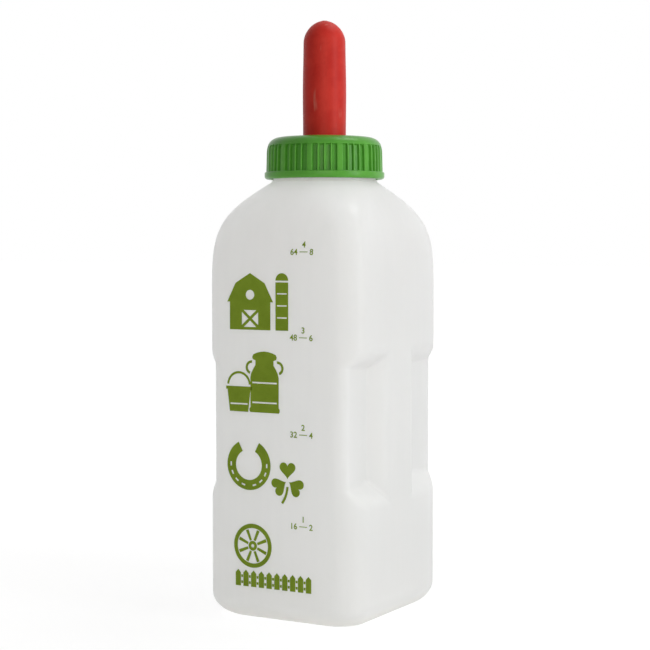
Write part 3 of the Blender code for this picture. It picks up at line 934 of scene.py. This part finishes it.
def circle(x, z, radius, steps=32):
    """A round loop."""
    turns = [2 * math.pi * step / steps for step in range(steps)]
    return [(x + radius * math.cos(turn), z + radius * math.sin(turn)) for turn in turns]


def box_loop(left, right, bottom, top):
    """A rectangular loop."""
    return [(left, bottom), (right, bottom), (right, top), (left, top)]


def band(x, z, radius, width, start, end, steps=24):
    """A part of a ring as one loop, angles in degrees."""
    outer = arc((x, z), radius + width / 2, start, end, steps)
    inner = arc((x, z), radius - width / 2, end, start, steps)
    return outer + inner


def shifted(loops, x, z, size):
    """Loops scaled and moved."""
    return [[(x + size * px, z + size * pz) for px, pz in loop] for loop in loops]


def turned(loop, degrees):
    """A loop turned round the origin."""
    cos, sin = math.cos(math.radians(degrees)), math.sin(math.radians(degrees))
    return [(x * cos - z * sin, x * sin + z * cos) for x, z in loop]


def barn():
    """A barn with a broken-pitch roof, a braced door, a round loft window and a silo beside it."""
    house = [mirrored([(0, 0), (12, 0), (12, 14), (13.6, 14), (8.6, 23.5), (0, 28.5)])]
    door = box_loop(-5.4, 5.4, 0.9, 10.4)
    middle = (0.0, 5.65)
    shrink = 0.69
    for first, second in zip(door, door[1:] + door[:1]):
        pane = (first, second, middle)
        x, z = (sum(places) / 3 for places in zip(*pane))
        house.append([(x + (px - x) * shrink, z + (pz - z) * shrink) for px, pz in pane])
    house.append(circle(0, 17.6, 2.5))
    silo = [box_loop(15.0, 22.4, 0, 24.0)]
    silo += [box_loop(15.9, 21.5, height, height + 0.7) for height in (6.0, 12.0, 18.0)]
    cover = [(15.0, 24.9), (22.4, 24.9)] + arc((18.7, 24.9), 3.7, 0, 180, 16)[1:-1]
    return [house, silo, [cover]]


def churn():
    """A milk churn with a domed lid, a rolled shoulder and two handles."""
    side = [(0, 0), (8.4, 0), (8.9, 0.8), (8.9, 1.9), (8.3, 2.6), (8.3, 17.6)]
    side += [(7.9, 19.6), (6.6, 22.0), (5.3, 23.9), (5.3, 26.2), (6.9, 26.8), (7.2, 28.0), (6.6, 29.2)]
    side += [(4.4, 30.1), (2.2, 30.6), (0, 30.8)]
    can = [mirrored(side)] + [box_loop(-7.2, 7.2, height, height + 0.8) for height in (4.6, 14.6)]
    handle = band(7.6, 22.6, 2.9, 1.3, -70, 95, 14)
    return [can, [handle], [[(-x, z) for x, z in handle]]]


def pail():
    """A pail with a rim, a hoop and its bail up."""
    side = [(0, 0), (5.6, 0), (7.0, 11.4), (7.9, 11.4), (7.9, 13.0), (0, 13.0)]
    return [[mirrored(side), box_loop(-5.2, 5.2, 3.6, 4.4)], [band(0, 13.6, 6.6, 1.2, 4, 176)]]


def horseshoe():
    """A horseshoe, open end up, with its nail holes."""
    loops = [band(0, 0, 9.6, 4.8, 118, 422, 48)]
    nail_hole = [(9.5, -1.0), (9.5, 1.0), (10.3, 1.0), (10.3, -1.0)]
    for turn in (18, 42, 66, 90):
        loops += [turned(nail_hole, -90 - turn), turned(nail_hole, -90 + turn)]
    return [loops]


def clover():
    """A three-leaf clover with heart-shaped leaves on a curved stem."""
    size, foot, steps = 0.27, 0.8, 40
    heart = []
    for step in range(steps):
        t = 2 * math.pi * step / steps
        rise = 13 * math.cos(t) - 5 * math.cos(2 * t) - 2 * math.cos(3 * t) - math.cos(4 * t)
        heart.append((size * 16 * math.sin(t) ** 3, size * (rise + 17) + foot))
    stem = band(-14.0, -2.0, 14.0, 1.2, -38, -3, 12)
    return [[turned(heart, lean)] for lean in (0, 120, 240)] + [[stem]]


def wheel():
    """A cart wheel: rim, hub and eight spokes that stop short of both."""
    rim = [circle(0, 0, 11.2, 64), circle(0, 0, 9.0, 64)]
    hub = [circle(0, 0, 2.5), circle(0, 0, 0.9, 16)]
    spoke = [(2.9, -0.65), (8.6, -0.85), (8.6, 0.85), (2.9, 0.65)]
    return [rim, hub] + [[turned(spoke, 22.5 + 45 * step)] for step in range(8)]


def fence():
    """A low fence of pointed boards with two rails between them."""
    boards, pitch, start = 10, 5.15, -25.0
    board = [(0, 0), (3.5, 0), (3.5, 7.6), (1.75, 9.4), (0, 7.6)]
    rails = [box_loop(3.7, 4.95, low, low + 1.5) for low in (1.5, 5.0)]
    shapes = []
    for number in range(boards):
        loops = [board] + (rails if number < boards - 1 else [])
        shapes += [shifted([loop], start + pitch * number, 0, 1.0) for loop in loops]
    return shapes


def make_print(surface, target):
    """The scale numbers with their dashes, and the farm motifs, wrapped on the front."""
    scale = bmesh.new()
    for number, height in enumerate(MARK_HEIGHTS, 1):
        dash = flat_mesh([box_loop(MARK_LEFT, MARK_RIGHT, -MARK_LINE / 2, MARK_LINE / 2)])
        lay(scale, dash, 1.0, 0.0, height)
        base = height - MARK_TEXT * MARK_DROP
        lay(scale, text_mesh(str(16 * number), "RIGHT"), MARK_TEXT, MARK_LEFT - MARK_GAP, base)
        lay(scale, text_mesh(str(2 * number), "LEFT"), MARK_TEXT, MARK_RIGHT + MARK_GAP, base)
        middle = (MARK_LEFT + MARK_RIGHT) / 2
        lay(scale, text_mesh(str(number), "CENTER"), MARK_TEXT, middle, base + COUNT_RISE)
    print_on(scale, "printed_scale", surface, target)
    motifs = bmesh.new()
    # Each motif, the place of its origin in millimetres, and its size
    places = ((barn(), -17.5, 166.0, 1.12), (churn(), -8.0, 119.5, 1.12), (pail(), -25.0, 119.5, 1.1),
              (horseshoe(), -18.5, 89.5, 1.2), (clover(), 7.0, 82.0, 1.2), (wheel(), -16.0, 43.5, 1.12),
              (fence(), -2.5, 20.0, 1.0))
    for shapes, x, z, size in places:
        for loops in shapes:
            lay(motifs, flat_mesh(shifted(loops, x, z, size)), MM, 0.0, 0.0)
    print_on(motifs, "printed_motifs", surface, target)


# Studio


def soft_box(name, turn, reach, height, size, power, tint):
    """A soft box so many degrees to the right of the camera, aimed at the middle of the bottle."""
    lamp = bpy.data.lights.new(name, "AREA")
    lamp.color = tint
    lamp.shape = "RECTANGLE"
    lamp.size, lamp.size_y = size
    lamp.energy = power
    made = bpy.data.objects.new(name, lamp)
    angle = CAMERA_TURN + math.radians(turn)
    made.location = (reach * math.sin(angle), -reach * math.cos(angle), height)
    aim = Vector((0.0, 0.0, SOFT_BOX_AIM)) - made.location
    made.rotation_euler = aim.to_track_quat("-Z", "Y").to_euler()
    bpy.context.scene.collection.objects.link(made)


def seen_directly(nodes):
    """1 for rays from the camera, in reflections and through the plastic, and 0 for light."""
    path = nodes.node("ShaderNodeLightPath")
    return (path["Is Camera Ray"] + path["Is Glossy Ray"] + path["Is Transmission Ray"]).clamp()


def make_surroundings():
    """Surroundings that look white and light the bottle only faintly."""
    world = bpy.data.worlds.new("studio")
    bpy.context.scene.world = world
    world.use_nodes = True
    world.node_tree.nodes.clear()
    nodes = Nodes(world.node_tree)
    light = nodes.node("ShaderNodeBackground", None, {"Color": grey(1.0), "Strength": WORLD_LIGHT})
    white = nodes.node("ShaderNodeBackground", None, {"Color": grey(1.0), "Strength": 1.0})
    chosen = nodes.mix_shader(seen_directly(nodes), light["Background"], white["Background"])
    nodes.node("ShaderNodeOutputWorld", None, {"Surface": chosen})


def floor_paper():
    """White paper that keeps the bottle's faint shadow."""
    paper = bpy.data.materials.new("studio_floor")
    paper.use_nodes = True
    paper.node_tree.nodes.clear()
    nodes = Nodes(paper.node_tree)
    matt = nodes.node("ShaderNodeBsdfDiffuse", None, {"Color": grey(FLOOR_PAPER)})["BSDF"]
    shade = nodes.node("ShaderNodeBsdfDiffuse", None, {"Color": grey(FLOOR_SHADE)})["BSDF"]
    place = nodes.node("ShaderNodeTexCoord")["Object"]
    distance = nodes.node("ShaderNodeVectorMath", {"operation": "LENGTH"}, {0: place})["Value"]
    near, far = SHADOW_REACH
    inputs = {"Value": distance, "From Min": near, "From Max": far, "To Min": FLOOR_GLOW, "To Max": 1.0}
    strength = nodes.node("ShaderNodeMapRange", None, inputs)["Result"]
    glow = nodes.node("ShaderNodeEmission", None, {"Strength": strength})["Emission"]
    shown = nodes.node("ShaderNodeAddShader", None, {0: shade, 1: glow})["Shader"]
    chosen = nodes.mix_shader(seen_directly(nodes), matt, shown)
    nodes.node("ShaderNodeOutputMaterial", None, {"Surface": chosen})
    return paper


def make_floor():
    """The floor that the bottle stands on."""
    bm = bmesh.new()
    bmesh.ops.create_grid(bm, x_segments=1, y_segments=1, size=FLOOR_SIZE)
    floor = placed(bm, "studio_floor")
    floor.data.materials.append(floor_paper())


def make_camera():
    """The photograph's camera."""
    lens = bpy.data.cameras.new("photo_camera")
    lens.lens = CAMERA_LENS
    lens.sensor_width = CAMERA_SENSOR
    camera = bpy.data.objects.new("photo_camera", lens)
    right, front = math.sin(CAMERA_TURN), -math.cos(CAMERA_TURN)
    camera.location = (CAMERA_REACH * right, CAMERA_REACH * front, CAMERA_HEIGHT)
    camera.rotation_euler = (math.pi / 2 - CAMERA_TILT, 0.0, CAMERA_TURN + CAMERA_YAW)
    bpy.context.scene.collection.objects.link(camera)
    bpy.context.scene.camera = camera
    bpy.context.scene.view_settings.view_transform = "Standard"


make_camera()
make_surroundings()
make_floor()
for box in SOFT_BOXES:
    soft_box(*box)

plastic, green, rubber, ink = milky_plastic(), green_plastic(), red_rubber(), olive_ink()
bottle_shell = make_bottle(plastic)
make_thread("neck_thread", plastic, "bottle",
            FINISH_RADIUS, THREAD_DEPTH, BEAD_TOP + THREAD_START)
make_cap(green)
make_ribs(green)
make_thread("cap_thread", green, "cap",
            CAP_BORE_RADIUS, -THREAD_DEPTH, BEAD_TOP + THREAD_START - THREAD_PITCH / 2)
make_nipple(rubber)
make_print(ink, outside_of(bottle_shell))
